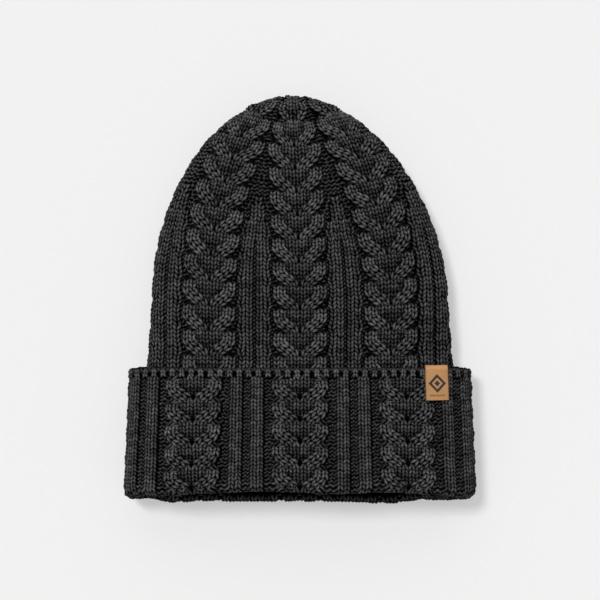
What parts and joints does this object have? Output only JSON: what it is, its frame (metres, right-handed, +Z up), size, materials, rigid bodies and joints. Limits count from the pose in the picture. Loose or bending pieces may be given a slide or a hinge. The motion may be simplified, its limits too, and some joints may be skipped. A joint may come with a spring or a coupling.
{
  "type": "knit beanie",
  "caption": "Cable-knit beanie lying flat, with a deep turned-up ribbed and cabled cuff, a closed rounded crown and a small plain leather tab folded over the cuff's edge.",
  "frame": {"origin": "on the table under the middle of the hat's bounding box, as the hat lies flat on its back", "axes": "+Z up from the table, +Y towards the crown, -Y towards the mouth, +X to the right seen from above with the crown away"},
  "size_m": [0.2034, 0.236, 0.045],
  "materials": {
    "charcoal_knit": "matt plied cotton and acrylic yarn, cable knit",
    "charcoal_yarn": "matt plied yarn",
    "tan_leather": "smooth vegetable-tanned leather with darker cut edges",
    "dark_print": "dark debossed print",
    "tan_thread": "waxed sewing thread",
    "satin_ribbon": "woven satin ribbon, unprinted"
  },
  "bodies": {
    "root": {"knit_body": "charcoal_knit", "turn_up_cuff": "charcoal_knit", "cast_on_edge": "charcoal_knit", "crown_drawstring": "charcoal_yarn", "crown_yarn_tail": "charcoal_yarn", "back_seam": "charcoal_yarn", "cuff_seam": "charcoal_yarn", "cast_on_yarn_tail": "charcoal_yarn", "label_tab": "tan_leather", "label_emblem_frame": "dark_print", "label_emblem_centre": "dark_print", "label_bar": "dark_print", "label_tack_left": "tan_thread", "label_tack_right": "tan_thread", "care_label": "satin_ribbon", "care_label_thread": "satin_ribbon"}
  },
  "joints": []
}
